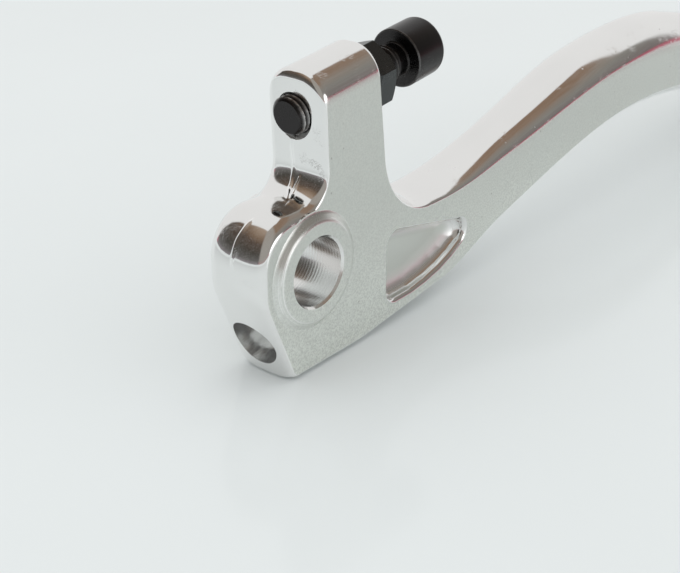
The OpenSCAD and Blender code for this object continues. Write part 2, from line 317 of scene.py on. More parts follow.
def blade_sections():
    """Blade sections from the web's end to the ball, on a smooth curve through the stations."""
    run = BLADE_END - WEB_END
    stations = [np.array((WEB_END + s[0] * run,) + s[1:]) for s in BLADE_STATIONS]
    sections = []
    for reach in np.linspace(WEB_END, BLADE_END, BLADE_STEPS + 1):
        k = max(i for i in range(len(stations) - 1) if reach >= stations[i][0] - STATION_SLACK)
        b, c = stations[k], stations[k + 1]
        a = stations[k - 1] if k else b
        d = stations[min(k + 2, len(stations) - 1)]
        span = c[0] - b[0]
        low = (c - a) / (c[0] - a[0]) * span
        if not k:
            low = span * np.array(BLADE_START)
        high = (d - b) / (d[0] - b[0]) * span
        t = (reach - b[0]) / span
        sections.append(
            (2 * t**3 - 3 * t**2 + 1) * b + (t**3 - 2 * t**2 + t) * low
            + (3 * t**2 - 2 * t**3) * c + (t**3 - t**2) * high
        )
    return sections


def outline_corners():
    """The forging's corners anticlockwise: place, rounding radius, rim of the edge that follows."""
    run = np.array((math.cos(SCREW_SLOPE), math.sin(SCREW_SLOPE)))
    up = np.array((-math.sin(SCREW_SLOPE), math.cos(SCREW_SLOPE)))
    arm_face = np.array((ARM_FRONT, SCREW_HEIGHT))
    arm_back = arm_face + (ARM_DEPTH + ARM_CREST) * run
    first = BLADE_STATIONS[0]
    web_foot = np.array((WEB_END, first[1] - first[2] / 2))
    web_crest = np.array((WEB_END, first[1] + first[2] / 2))
    back_corner = arm_back - (arm_back[1] - web_crest[1]) / math.cos(SCREW_SLOPE) * up
    cap_front = arm_face + CAP_RISE * up

    def arm_front_at(height):
        return np.array((ARM_FRONT + (SCREW_HEIGHT - height) * math.tan(ARM_LEAN), height))

    return [
        (np.array((FOOT_FRONT, -FOOT_DROP)), TOE_ROUND, FOOT_RIM),
        (np.array((FOOT_BACK, -FOOT_DROP)), BELLY_ROUND, FOOT_RIM),
        (web_foot, 0.0, WEB_TOP_RIM),
        (web_crest, 0.0, WEB_TOP_RIM),
        (back_corner, WEB_ROUND, ARM_BACK_RIM),
        (arm_back + CAP_RISE * up, CAP_BACK_ROUND, ARM_CAP_RIM),
        (arm_front_at(cap_front[1]), CAP_FRONT_ROUND, ARM_FRONT_RIM),
        (arm_front_at(HEAD_RISE), THROAT_ROUND, HEAD_RIM),
        (np.array((-HEAD_REACH, HEAD_RISE)), BROW_ROUND, HEAD_RIM),
        (np.array((-HEAD_REACH, 0.0)), CHIN_ROUND, FRONT_RIM),
    ]


def cross(a, b):
    """Cross product of two plane vectors."""
    return a[0] * b[1] - a[1] * b[0]


def moved_edge(loop, i, inset):
    """Start and direction of one edge of the outline, moved inwards."""
    a, b = loop[i][0], loop[(i + 1) % len(loop)][0]
    run = (b - a) / np.linalg.norm(b - a)
    return a + inset * np.array((-run[1], run[0])), run


def rim_in(rim, angle):
    """How far a rim lies inside the outline at one angle of its rounding."""
    return rim[0] * (1 - math.cos(angle))


def rim_level(rim, half, side, angle):
    """How far a rim lies from the middle plane at one angle of its rounding."""
    return side * (half - rim[1] * (1 - math.sin(angle)))


def rounded_corner(loop, i, side, angle):
    """Points of one rounded corner of the outline at one angle of the rims."""
    before, after = loop[i - 1][2], loop[i][2]
    inset = rim_in(before, angle), rim_in(after, angle)
    level = rim_level(before, HALF_BODY, side, angle), rim_level(after, HALF_BODY, side, angle)
    (p, p_run), (q, q_run) = moved_edge(loop, i - 1, inset[0]), moved_edge(loop, i, inset[1])
    bend = 1 if cross(p_run, q_run) > 0 else -1
    radius = max(loop[i][1] - bend * sum(inset) / 2, min(loop[i][1], LEAST_CORNER))
    turn = math.acos(float(p_run @ q_run))
    meeting = p + cross(q - p, q_run) / cross(p_run, q_run) * p_run
    start = meeting - radius * math.tan(turn / 2) * p_run
    centre = start + bend * radius * np.array((-p_run[1], p_run[0]))
    points = []
    for s in np.linspace(0, 1, CORNER_STEPS + 1):
        a = bend * (turn * s - math.pi / 2)
        cos_a, sin_a = math.cos(a), math.sin(a)
        out = np.array((p_run[0] * cos_a - p_run[1] * sin_a, p_run[1] * cos_a + p_run[0] * sin_a))
        x, z = centre + radius * out
        points.append((x, level[0] + (level[1] - level[0]) * s, z))
    return points


def forging_ring(loop, blade, side, angle):
    """One ring of the forging as points (x, y, z): foot, blade out, blade back, arm, head."""

    def along(start, end):
        shares = np.linspace(0, 1, RUN_STEPS + 2)[1:-1]
        return [tuple(np.array(start) * (1 - s) + np.array(end) * s) for s in shares]

    def crest_depth(b):
        """Depth of the blade's top rim, eased towards its half thickness."""
        most = b[3] - HALF_PARTING
        return most - (math.hypot(most - b[5], CREST_EASE) + most - b[5]) / 2

    foot = [
        (b[0], rim_level((b[6], b[3] - HALF_PARTING), b[3], side, angle),
         b[1] - b[2] / 2 + rim_in((b[6], 0), angle))
        for b in blade
    ]
    crest = [
        (b[0], rim_level((b[4], crest_depth(b)), b[3], side, angle),
         b[1] + b[2] / 2 - rim_in((b[4], 0), angle))
        for b in reversed(blade)
    ]
    stretches = [rounded_corner(loop, i, side, angle) for i in range(BLADE_CORNER)]
    stretches.append(foot + crest)
    stretches += [rounded_corner(loop, i, side, angle) for i in range(BLADE_CORNER + 2, len(loop))]
    ring = []
    for k, stretch in enumerate(stretches):
        ring += stretch + along(stretch[-1], stretches[(k + 1) % len(stretches)][0])
    return np.array(ring)


# The trimmed parting line where it still shows, as (height, place across the forging).
FLASH_RUNS = (
    ((15.6, 0.60), (12.8, 0.37), (10.8, 0.17), (9.6, -0.22), (9.15, -0.8), (8.93, -1.45)),
    ((11.3, -0.98), (10.0, -0.93), (9.3, -1.12), (8.9, -1.60)),
    ((8.35, -0.95), (8.05, -0.83), (6.9, -0.56), (6.1, -0.38), (3.8, -0.36), (2.6, -0.5)),
)
# The ridge keeps in front of this x, and its whole width is this many times its bell's.
FLASH_BACK = 2.2
FLASH_SPREAD = 2.2
# Heights over which it fades at its lower and upper end.
FLASH_LOW_FADE = 0.5
FLASH_HIGH_FADE = 0.35


def flash_rise(points, width):
    """Height of the parting line's ridge at each point, from 0 to 1, on the lever's front."""
    x, y, z = points[:, 0], points[:, 1], points[:, 2]
    rise = np.zeros(len(points))
    for run in FLASH_RUNS:
        heights = np.array([h for h, _ in run][::-1])
        across = np.array([a for _, a in run][::-1])
        middle = np.interp(z, heights, across)
        fade = np.clip((z - heights[0]) / FLASH_LOW_FADE, 0, 1)
        fade *= np.clip((heights[-1] - z) / FLASH_HIGH_FADE, 0, 1)
        ridge = np.exp(-((y - middle) / (width / FLASH_SPREAD)) ** 2)
        rise = np.maximum(rise, np.where(x < FLASH_BACK, ridge * fade, 0))
    return rise


def burnish_and_highlight(stack):
    """How far each ring point is burnished and painted lighter as a highlight, by how tightly the forging
    is rounded there.
    """
    before = np.diff(stack, axis=0, prepend=stack[:1])
    before[0] = before[1]
    after = np.roll(before, -1, axis=0)
    after[-1] = before[-1]
    sizes = np.linalg.norm(before, axis=2) * np.linalg.norm(after, axis=2)
    cosine = np.clip((before * after).sum(axis=2) / np.maximum(sizes, 1e-9), -1, 1)
    curving = np.arccos(cosine) / np.maximum(np.linalg.norm(before + after, axis=2) / 2, 1e-3)
    return np.clip((curving - BURNISH_HIGHLIGHT_FROM) / BURNISH_HIGHLIGHT_FADE, 0, 1).reshape(-1)


def forging_mesh(settings):
    """Points and faces of the forging's loft, and how far each point is burnished and painted lighter as a
    highlight.
    """
    loop, blade = outline_corners(), blade_sections()
    near_flat = np.radians(np.linspace(*FLAT_RINGS))
    near_middle = np.radians(np.linspace(*MIDDLE_RINGS))
    strip = np.linspace(-1, 1, STRIP_RINGS)[1:-1]
    rings = [forging_ring(loop, blade, -1, a) for a in (*near_flat, *near_middle)]
    edge = forging_ring(loop, blade, 1, 0.0)
    rings += [edge * (1, share, 1) for share in strip]
    rings += [forging_ring(loop, blade, 1, a) for a in (*near_middle[::-1], *near_flat[::-1])]

    # The ridge is raised along the outline's own outward direction.
    width, height = settings.flash_width / MM, settings.flash_height / MM
    previous, following = np.roll(edge, 1, axis=0), np.roll(edge, -1, axis=0)
    run = following - previous
    out = np.stack((run[:, 2], np.zeros(len(run)), -run[:, 0]), axis=1)
    out /= np.linalg.norm(out, axis=1)[:, None]
    rings = [ring + out * (height * flash_rise(ring, width))[:, None] for ring in rings]
    rings = [np.column_stack((np.maximum(ring[:, 0], -HEAD_REACH), ring[:, 1:])) for ring in rings]

    count = len(edge)
    points = np.concatenate(rings)
    far = len(points) - count
    faces = loft_faces(count, len(rings))
    # The flat sides are closed by one face for the body and quads along the blade.
    foot_start = BLADE_CORNER * (CORNER_STEPS + 1 + RUN_STEPS)
    crest_end = foot_start + 2 * BLADE_STEPS + 1
    body = list(range(foot_start + 1)) + list(range(crest_end, count))
    quads = [
        (foot_start + k, foot_start + k + 1, crest_end - k - 1, crest_end - k)
        for k in range(BLADE_STEPS)
    ]
    faces += [tuple(body)] + quads
    faces += [tuple(far + i for i in reversed(face)) for face in (body, *quads)]
    return points, faces, burnish_and_highlight(np.array(rings))


def land_profile(half_edge):
    """Profile of one land, from its middle to its rim, which falls in one soft curve."""
    rise = LAND_TOP - HALF_BODY + LAND_SINK
    middle = LAND_R - LAND_EDGE_IN
    fall = []
    for share in np.linspace(-1, 1, 21):
        drop = rise * (1 + math.sin(math.pi / 2 * share)) / 2
        fall.append((middle + half_edge * share, LAND_TOP - drop))
    return [(0.0, LAND_TOP), *fall]


def both_ways(half):
    """A profile from its middle outwards, followed by its mirror image."""
    return [*half, *[(r, -h) for r, h in reversed(half)]]


# Corners of the pocket: centre of the mouth's rounding, and the floor's corner, as (x, z).
POCKET_CORNERS = (
    ((17.0, -8.80), (17.0, -7.40)),
    ((20.5, -8.78), (20.9, -7.35)),
    ((23.8, -8.40), (23.9, -6.55)),
    ((26.8, -7.75), (26.3, -5.80)),
    ((29.5, -6.75), (27.6, -5.25)),
    ((32.0, -5.45), (28.4, -4.90)),
    ((17.0, -2.25), (17.2, -2.90)),
)
POCKET_ROUND = 2.4
POCKET_DEPTH = 2.4
POCKET_FLOOR_ROUND = 0.03
# Share of the way from mouth to floor that the lip takes up, and degrees from one point to the next.
POCKET_LIP_SHARE = 0.2
POCKET_ARC_STEP = 6
# Rings over the mouth, and on the floor, as (share of the way from floor to mouth, height).
POCKET_OPEN = ((1.06, 1.5), (1.012, 0.02))
POCKET_FLOOR = ((0.10, 0.0), (0.0, -0.0005))


def pocket_points(lip):
    """A pocket cutter above the plane z = 0: rings down a rounded lip and a hollow wall."""
    mouth = [np.array(centre) for centre, _ in POCKET_CORNERS]
    count = len(mouth)
    normals = []
    for i in range(count):
        run = mouth[(i + 1) % count] - mouth[i]
        normals.append(math.atan2(-run[0], run[1]))
    outer, floor = [], []
    for i, (centre, corner) in enumerate(POCKET_CORNERS):
        start, end = normals[i - 1], normals[i]
        while end < start:
            end += 2 * math.pi
        steps = max(3, round(math.degrees(end - start) / POCKET_ARC_STEP))
        for a in np.linspace(start, end, steps):
            aim = np.array((math.cos(a), math.sin(a)))
            outer.append(np.array(centre) + POCKET_ROUND * aim)
            floor.append(np.array(corner) + POCKET_FLOOR_ROUND * aim)
    outer, floor = np.array(outer), np.array(floor)
    wall = 1 - POCKET_LIP_SHARE
    turns = np.radians(np.linspace(0, 90, 9))
    levels = list(POCKET_OPEN)
    levels += [(1 - POCKET_LIP_SHARE * math.sin(a), lip * (math.cos(a) - 1)) for a in turns]
    levels += [(wall * math.cos(a), -lip - (POCKET_DEPTH - lip) * math.sin(a)) for a in turns[1:-1]]
    levels += [(wall * share, -POCKET_DEPTH + height) for share, height in POCKET_FLOOR]
    rings = []
    for share, level in levels:
        across = floor + (outer - floor) * share
        rings.append(np.column_stack((across, np.full(len(outer), level))))
    return np.concatenate(rings), len(outer), len(rings)


def closed_loft(name, points, count, rings):
    """A closed piece from stacked rings and two end faces, its normals turned outwards."""
    faces = loft_faces(count, rings)
    faces += [tuple(range(count)), tuple(reversed(range((rings - 1) * count, rings * count)))]
    return outward(mesh_object(name, points, faces))


def cutter(name, profile, steps, matrix, material):
    """A turned piece for a boolean, placed and given the material that it leaves."""
    points, faces = revolve(profile, steps)
    made = outward(mesh_object(name, placed(points, matrix), faces))
    made.data.materials.append(material)
    return made


def finish_piece(made, body, slot, *nodes):
    """Shading, body and replaced nodes of a finished piece; the record slot is not used."""
    made.data.set_sharp_from_angle(angle=math.radians(SHARP_FROM))
    weighted = made.modifiers.new("Even normals", "WEIGHTED_NORMAL")
    weighted.mode = "FACE_AREA"
    weighted.weight = 60
    weighted.keep_sharp = True
    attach(made, body)
    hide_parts(*nodes)


class LEVER_OT_forging(bpy.types.Operator):
    """Build the forging with its bore, seat, threaded hole, lands and pockets"""

    bl_idname = "lever.forging"
    bl_label = "Forging"

    def execute(self, context):
        settings = context.scene.lever_forging
        skin = forged_skin(settings)
        reamed = bored_metal(settings, "Reamed bore", 0.20, 7.0)
        drilled = bored_metal(settings, "Drilled seat", 0.13, 4.0, 0.9)
        tapped = bored_metal(settings, "Tapped hole", 0.30, 1.25)
        pressed = pressed_metal(settings)

        points, faces, burnish_highlights = forging_mesh(settings)
        lever = mesh_object("Forging", points, faces)
        # This attribute marks the burnished tight rims, which the skin also paints lighter as a painted
        # highlight line.
        lever.data.attributes.new("edge", "FLOAT", "POINT").data.foreach_set("value", burnish_highlights)
        lever.data.materials.append(skin)

        across = Matrix.Rotation(math.pi / 2, 4, "X")
        lands = both_ways(land_profile(settings.land_edge / MM))
        joined_by(lever, cutter("Lands", lands, 160, across, skin), "UNION")

        points, faces = revolve([(0, BALL_R), *arc((0, 0), BALL_R, 88, -88, 44), (0, -BALL_R)], 96)
        ball = outward(mesh_object("Ball", points + (BALL_REACH, 0, BALL_R - FOOT_DROP), faces))
        ball.data.materials.append(skin)
        joined_by(lever, ball, "UNION")

        # Cutters reach this far past the faces that they open. The bore's runs out to points beyond them.
        over = 3
        point = 9
        bore_r = MOUNTS["pivot_bore"]["dims"]["r_mm"]
        chamfer = 0.3
        half = [(0, point), (bore_r + over, LAND_TOP - chamfer + over)]
        half += [(bore_r + chamfer, LAND_TOP), (bore_r, LAND_TOP - chamfer)]
        half += [(bore_r, h) for h in np.linspace(4.5, 0.5, 5)]
        joined_by(lever, cutter("Bore", both_ways(half), 128, across, reamed), "DIFFERENCE")

        seat = MOUNTS["rim_seat"]
        axis, seat_r, half_depth = Vector(seat["axis"]), seat["dims"]["r_mm"], seat["dims"]["length_mm"] / 2
        middle = Vector(seat["pos_m"]) / MM
        aim = Matrix.Translation(middle) @ (-axis).to_track_quat("Z", "X").to_matrix().to_4x4()
        drill_point = 1.1
        profile = [(0, -2 * over)] + [(seat_r, h) for h in (-2 * over, -half_depth, 0, half_depth)]
        profile.append((0, half_depth + drill_point))
        joined_by(lever, cutter("Seat", profile, 112, aim, drilled), "DIFFERENCE")

        hole_r = 2.55
        mouth = 0.4
        profile = [(0, -over), (hole_r + mouth + over, -over)]
        profile += [(hole_r + 0.03, mouth - 0.03), (hole_r, mouth + 0.04)]
        profile += [(hole_r, h) for h in (2, 4, 6, 8, 10, 15)] + [(0, 15)]
        joined_by(lever, cutter("Tapping", profile, 96, along_screw(), tapped), "DIFFERENCE")
        spot_r = 7.5
        profile = [(0, ARM_DEPTH), (spot_r, ARM_DEPTH), (spot_r, ARM_DEPTH + over), (0, ARM_DEPTH + over)]
        joined_by(lever, cutter("Spot face", profile, 96, along_screw(), reamed), "DIFFERENCE")

        for side in (1, -1):
            points, count, rings = pocket_points(settings.pocket_lip / MM)
            points = np.stack((points[:, 0], side * (HALF_BODY + points[:, 2]), points[:, 1]), axis=1)
            pocket = closed_loft("Pocket", points, count, rings)
            pocket.data.materials.append(pressed)
            joined_by(lever, pocket, "DIFFERENCE")

        finish_piece(lever, "lever", "forging", "lever")
        return {"FINISHED"}


# Materials


class Tree:
    """A short way to add and join shader nodes."""

    def __init__(self, tree):
        self.tree = tree
        self.tree.nodes.clear()

    def node(self, kind, inputs=None, **settings):
        made = self.tree.nodes.new(kind)
        for name, value in settings.items():
            setattr(made, name, value)
        for name, value in (inputs or {}).items():
            if isinstance(value, bpy.types.NodeSocket):
                self.tree.links.new(value, made.inputs[name])
            else:
                made.inputs[name].default_value = value
        return made

    def maths(self, operation, first, second=0.0, clamp=False):
        return self.node(
            "ShaderNodeMath", {0: first, 1: second, 2: 0.0}, operation=operation, use_clamp=clamp
        ).outputs[0]

    def times(self, first, second, clamp=False):
        return self.maths("MULTIPLY", first, second, clamp)

    def plus(self, first, second, clamp=False):
        return self.maths("ADD", first, second, clamp)

    def minus(self, first, second):
        return self.maths("SUBTRACT", first, second)

    def place(self):
        """The piece's own coordinates."""
        return self.node("ShaderNodeTexCoord").outputs["Object"]

    def axes(self, vector):
        return self.node("ShaderNodeSeparateXYZ", {"Vector": vector}).outputs

    def dot(self, first, second):
        return self.node(
            "ShaderNodeVectorMath", {0: first, 1: second}, operation="DOT_PRODUCT"
        ).outputs["Value"]

    def noise(self, place, scale, detail):
        return self.node(
            "ShaderNodeTexNoise", {"Vector": place, "Scale": scale, "Detail": detail}
        ).outputs["Fac"]

    def ramp(self, value, stops):
        """A colour that runs through the given stops."""
        made = self.node("ShaderNodeValToRGB", {"Fac": value})
        ramp = made.color_ramp
        while len(ramp.elements) < len(stops):
            ramp.elements.new(0.5)
        for element, (place, colour) in zip(ramp.elements, stops):
            element.position = place
            element.color = (*colour, 1)
        return made.outputs["Color"]

    def mix(self, share, first, second):
        """A colour between two others."""
        made = self.node("ShaderNodeMix", {"Factor": share}, data_type="RGBA")
        for socket, value in ((made.inputs[6], first), (made.inputs[7], second)):
            if isinstance(value, bpy.types.NodeSocket):
                self.tree.links.new(value, socket)
            else:
                socket.default_value = (*value, 1)
        return made.outputs[2]

    def span(self, value, low, high, to_low, to_high, smooth=False):
        """A value carried over from one range to another and held at its ends."""
        return self.node(
            "ShaderNodeMapRange",
            {"Value": value, "From Min": low, "From Max": high, "To Min": to_low, "To Max": to_high},
            interpolation_type="SMOOTHSTEP" if smooth else "LINEAR",
        ).outputs["Result"]

    def fade(self, value, limits, most=1.0):
        """A value that rises softly from 0 to the most between two limits."""
        return self.span(value, *limits, 0.0, most, smooth=True)

    def put_out(self, end, **values):
        """Values joined to a group's outputs."""
        for name, value in values.items():
            self.tree.links.new(value, end.inputs[name])


def node_group(name, inputs, outputs):
    """An empty shader node group with named float inputs and outputs, and its end nodes."""
    group = bpy.data.node_groups.new(name, "ShaderNodeTree")
    for label, value in inputs:
        socket = group.interface.new_socket(label, in_out="INPUT", socket_type="NodeSocketFloat")
        socket.default_value = value
    for label in outputs:
        group.interface.new_socket(label, in_out="OUTPUT", socket_type="NodeSocketFloat")
    tree = Tree(group)
    start = tree.node("NodeGroupInput").outputs
    end = tree.node("NodeGroupOutput")
    return group, tree, start, end


# Turns and shifts of the three scratch patterns. Scales are in waves for each metre.
SCRATCH_LAYS = (((0.3, 0.5, 0.9), 0.0), ((1.1, -0.4, 2.2), 0.013), ((-0.8, 0.9, 0.3), 0.031))
SCRATCH_STRETCH = (1.0, 14.0, 14.0)
SCRATCH_SCALE = 140.0
SCRATCH_HALF_WIDTH = 0.012
SCRATCH_GATE_SCALE = 420.0
SCRATCH_GATE = (0.58, 0.66)
GRAIN_SCALE = 4200.0
PIT_SCALE = 900.0
PIT_RARE = (0.90, 0.93)
PIT_EDGE = (0.08, 0.17)
DRIFT_SCALE = 90.0
RIPPLE_SCALE = 520.0
# The part of the drift noise's range that is used.
DRIFT = (0.3, 0.7)


def fine_scratches():
    """Sparse short straight scratches in three directions, as a mask from 0 to 1."""
    if "Fine scratches" in bpy.data.node_groups:
        return bpy.data.node_groups["Fine scratches"]
    inputs = (("Scale", 1.0), ("Amount", 0.5))
    group, tree, start, end = node_group("Fine scratches", inputs, ("Mask",))
    place = tree.place()
    masks = []
    for turn, shift in SCRATCH_LAYS:
        turned = tree.node(
            "ShaderNodeMapping",
            {"Vector": place, "Location": (shift,) * 3, "Rotation": turn, "Scale": SCRATCH_STRETCH},
        ).outputs["Vector"]
        lines = tree.noise(turned, tree.times(start["Scale"], SCRATCH_SCALE), 1.0)
        crest = tree.maths("ABSOLUTE", tree.minus(lines, 0.5))
        thin = tree.span(crest, 0.0, SCRATCH_HALF_WIDTH, 1.0, 0.0)
        where = tree.noise(place, tree.times(start["Scale"], SCRATCH_GATE_SCALE), 2.0)
        masks.append(tree.times(thin, tree.span(where, *SCRATCH_GATE, 0.0, 1.0)))
    most = tree.maths("MAXIMUM", tree.maths("MAXIMUM", masks[0], masks[1]), masks[2])
    tree.put_out(end, Mask=tree.times(most, start["Amount"], clamp=True))
    return group


def grain():
    """Fine grain, rare pits, and two slower unevennesses, for tumbled metal and black oxide."""
    if "Metal grain" in bpy.data.node_groups:
        return bpy.data.node_groups["Metal grain"]
    outputs = ("Grain", "Pits", "Drift", "Ripple")
    group, tree, start, end = node_group("Metal grain", (("Scale", 1.0),), outputs)
    place = tree.place()

    def scaled(scale):
        return tree.times(start["Scale"], scale)

    spots = tree.node("ShaderNodeTexVoronoi", {"Vector": place, "Scale": scaled(PIT_SCALE)}).outputs
    pick = tree.node("ShaderNodeSeparateColor", {"Color": spots["Color"]}).outputs["Red"]
    rare = tree.span(pick, *PIT_RARE, 0.0, 1.0)
    spot = tree.span(spots["Distance"], *PIT_EDGE, 1.0, 0.0)
    tree.put_out(
        end,
        Grain=tree.noise(place, scaled(GRAIN_SCALE), 3.0),
        Pits=tree.times(rare, spot),
        Drift=tree.noise(place, scaled(DRIFT_SCALE), 2.0),
        Ripple=tree.noise(place, scaled(RIPPLE_SCALE), 2.0),
    )
    return group


def use_group(tree, group, **inputs):
    """The outputs of one use of a node group."""
    made = tree.node("ShaderNodeGroup", node_tree=group)
    for name, value in inputs.items():
        made.inputs[name].default_value = value
    return made.outputs


def new_material(name):
    """An empty material and its tree."""
    made = bpy.data.materials.new(name)
    made.use_nodes = True
    return made, Tree(made.node_tree)


def shaded(colour, level):
    """A colour made darker or lighter."""
    return tuple(min(1.0, level * c) for c in colour)


def shader(tree, **inputs):
    """The material's own Principled shader, joined to its output."""
    main = tree.node("ShaderNodeBsdfPrincipled", inputs)
    tree.node("ShaderNodeOutputMaterial", {"Surface": main.outputs["BSDF"]})


def metal_shader(tree, colour, rough, height, strength, distance, metallic=1.0):
    """The Principled shader of a metal with a fine relief."""
    relief = {"Height": height, "Strength": strength, "Distance": distance}
    normal = tree.node("ShaderNodeBump", relief).outputs["Normal"]
    shader(tree, **{"Base Color": colour, "Metallic": metallic, "Roughness": rough, "Normal": normal})


# How square to the pivot bore a face is, from the rims to the flats.
FLAT_FROM = (0.93, 0.995)
# Where the tumbled land ends, from the bore's axis and from the middle plane, in metres.
LAND_FADE = (0.0084, 0.0088)
LAND_RAISED = (0.00460, 0.00463)
LAND_SATIN = 0.75
# Heights between which the flats are painted paler towards the foot, a painted reflection of the brighter
# table near it, and depths of the pocket's wall.
PAINTED_FOOT_LIGHT = (-0.014, 0.006)
POCKET_WALL = (0.0024, 0.0036)

# Lighter metal on tight rims: burnished, and also a painted highlight along them.
BURNISHED_HIGHLIGHT_METAL = (0.98, 0.98, 0.97)
PITTED_METAL = (0.35, 0.33, 0.31)
SCRATCHED_OXIDE = (0.16, 0.155, 0.15)
BARE_STEEL = (0.62, 0.61, 0.60)
PITTED_OXIDE = (0.10, 0.085, 0.07)


def flat_mask(tree):
    """1 on faces square to the pivot bore, 0 on the rims."""
    normal = tree.node("ShaderNodeNewGeometry").outputs["Normal"]
    return tree.fade(tree.maths("ABSOLUTE", tree.axes(normal)["Y"]), FLAT_FROM)


def tumbled_mask(tree, axes):
    """1 on the faces square to the bore, and most of it on the lands' soft edges too."""
    squares = tree.times(axes["X"], axes["X"]), tree.times(axes["Z"], axes["Z"])
    radius = tree.maths("POWER", tree.plus(*squares), 0.5)
    land = tree.span(radius, *LAND_FADE, LAND_SATIN, 0.0, smooth=True)
    raised = tree.span(tree.maths("ABSOLUTE", axes["Y"]), *LAND_RAISED, 0.0, 1.0)
    return tree.maths("MAXIMUM", flat_mask(tree), tree.times(land, raised))


def forged_skin(settings):
    """Bare aluminium: satin on the flat faces, polished on the rims, with specks and scratches."""
    made, tree = new_material("Forged aluminium")
    axes = tree.axes(tree.place())
    flat = tumbled_mask(tree, axes)
    grains = use_group(tree, grain(), Scale=1.0)
    scratches = use_group(tree, fine_scratches(), Scale=1.0, Amount=0.8)["Mask"]

    satin = tree.span(grains["Drift"], *DRIFT, settings.satin - 0.05, settings.satin + 0.05)
    polish = tree.span(grains["Drift"], *DRIFT, settings.polish - 0.02, settings.polish + 0.03)
    rims = tree.minus(1.0, flat)
    rough = tree.plus(tree.times(satin, flat), tree.times(polish, rims))
    rough = tree.plus(rough, tree.times(scratches, 0.14), clamp=True)
    rough = tree.plus(rough, tree.times(grains["Pits"], 0.35), clamp=True)

    shade = tree.span(grains["Drift"], 0.25, 0.75, 0.0, 1.0)
    bright = tree.mix(shade, shaded(settings.metal, 0.97), tuple(settings.metal))
    dull = tree.mix(shade, shaded(settings.tumbled, 0.96), tuple(settings.tumbled))
    # Painted light: the flats grow paler towards the foot, standing in for the brighter table that they
    # reflect there.
    low = tree.span(axes["Z"], *PAINTED_FOOT_LIGHT, 1.0, 0.0, smooth=True)
    dull = tree.mix(low, dull, shaded(settings.tumbled, 1.33))
    frosted = tree.span(grains["Grain"], 0.36, 0.64, 0.0, 0.7)
    dull = tree.mix(frosted, dull, shaded(settings.tumbled, 0.86))
    colour = tree.mix(flat, bright, dull)
    # Tight rims are painted lighter: partly burnished metal, partly a painted highlight line.
    edge = tree.node("ShaderNodeAttribute", attribute_name="edge").outputs["Fac"]
    colour = tree.mix(edge, colour, BURNISHED_HIGHLIGHT_METAL)
    pits = tree.times(grains["Pits"], tree.span(flat, 0.0, 1.0, 0.0, 0.4))
    colour = tree.mix(pits, colour, PITTED_METAL)

    height = tree.times(grains["Grain"], tree.span(flat, 0.0, 1.0, 0.10, 0.60))
    height = tree.plus(height, tree.times(grains["Ripple"], 0.55))
    height = tree.minus(height, tree.times(scratches, 0.5))
    height = tree.minus(height, tree.times(grains["Pits"], 0.8))
    metal_shader(tree, colour, rough, height, 0.35, 0.00003)
    return made


def bored_metal(settings, name, roughness, spacing, metallic=1.0):
    """Cut aluminium with the tool's fine turns along the hole."""
    made, tree = new_material(name)
    grains = use_group(tree, grain(), Scale=1.0)
    turns = tree.node(
        "ShaderNodeTexWave",
        {"Vector": tree.place(), "Scale": 100.0 * spacing, "Distortion": 0.6, "Detail": 1.0},
        bands_direction="Y",
    ).outputs["Fac"]
    rough = tree.span(turns, 0.0, 1.0, roughness - 0.03, roughness + 0.05)
    colour = tree.mix(grains["Drift"], shaded(settings.metal, 0.94), tuple(settings.metal))
    height = tree.plus(turns, tree.times(grains["Grain"], 0.25))
    metal_shader(tree, colour, rough, height, 0.2, 0.00002, metallic)
    return made


def pressed_metal(settings):
    """The pocket's bright pressed walls and its satin floor."""
    made, tree = new_material("Pressed pocket")
    flat = flat_mask(tree)
    grains = use_group(tree, grain(), Scale=1.0)
    scratches = use_group(tree, fine_scratches(), Scale=1.5, Amount=0.6)["Mask"]
    across = tree.maths("ABSOLUTE", tree.axes(tree.place())["Y"])
    rough = tree.span(across, *POCKET_WALL, 0.38, 0.11, smooth=True)
    rough = tree.plus(rough, tree.times(scratches, 0.15))
    bright = tree.mix(grains["Drift"], shaded(settings.metal, 0.93), tuple(settings.metal))
    colour = tree.mix(flat, bright, tuple(settings.tumbled))
    fine = tree.times(grains["Grain"], 0.3)
    height = tree.plus(tree.times(grains["Drift"], 0.6), fine)
    metal_shader(tree, colour, rough, height, 0.4, 0.00006)
    return made


def black_oxide(name, steel, sheen):
    """Black oxide on turned steel, with lighter scuffs and bare metal where it is worn."""
    made, tree = new_material(name)
    grains = use_group(tree, grain(), Scale=0.8)
    scratches = use_group(tree, fine_scratches(), Scale=0.8, Amount=0.25)["Mask"]
    scuffs = tree.span(grains["Drift"], 0.50, 0.75, 0.0, 0.55)
    colour = tree.mix(scuffs, tuple(steel), shaded(steel, 1.7))
    colour = tree.mix(scratches, colour, SCRATCHED_OXIDE)
    worn = tree.node("ShaderNodeAttribute", attribute_name="worn").outputs["Fac"]
    worn = tree.times(worn, tree.span(grains["Grain"], 0.35, 0.6, 0.6, 1.0))
    colour = tree.mix(worn, colour, BARE_STEEL)
    colour = tree.mix(tree.times(grains["Pits"], 0.6), colour, PITTED_OXIDE)
    rough = tree.span(grains["Drift"], *DRIFT, sheen - 0.06, sheen + 0.08)
    rough = tree.plus(rough, tree.times(grains["Grain"], 0.05))
    metal_shader(tree, colour, rough, tree.minus(grains["Grain"], scratches), 0.12, 0.00003)
    return made


# Screw and nut


# The screw's sizes, with heights along its axis from the arm's front face.
SCREW_R = 2.5
SCREW_STEPS = 72
SCREW_TIP = -1.2
HEAD_START = 20.3
HEAD_END = 26.1
CONTACT_R = 3.99
CONTACT_ROUND = 0.8
CONTACT_EDGE = 0.25
NECK_ROUND = 0.35
NECK_UNDER = 0.02
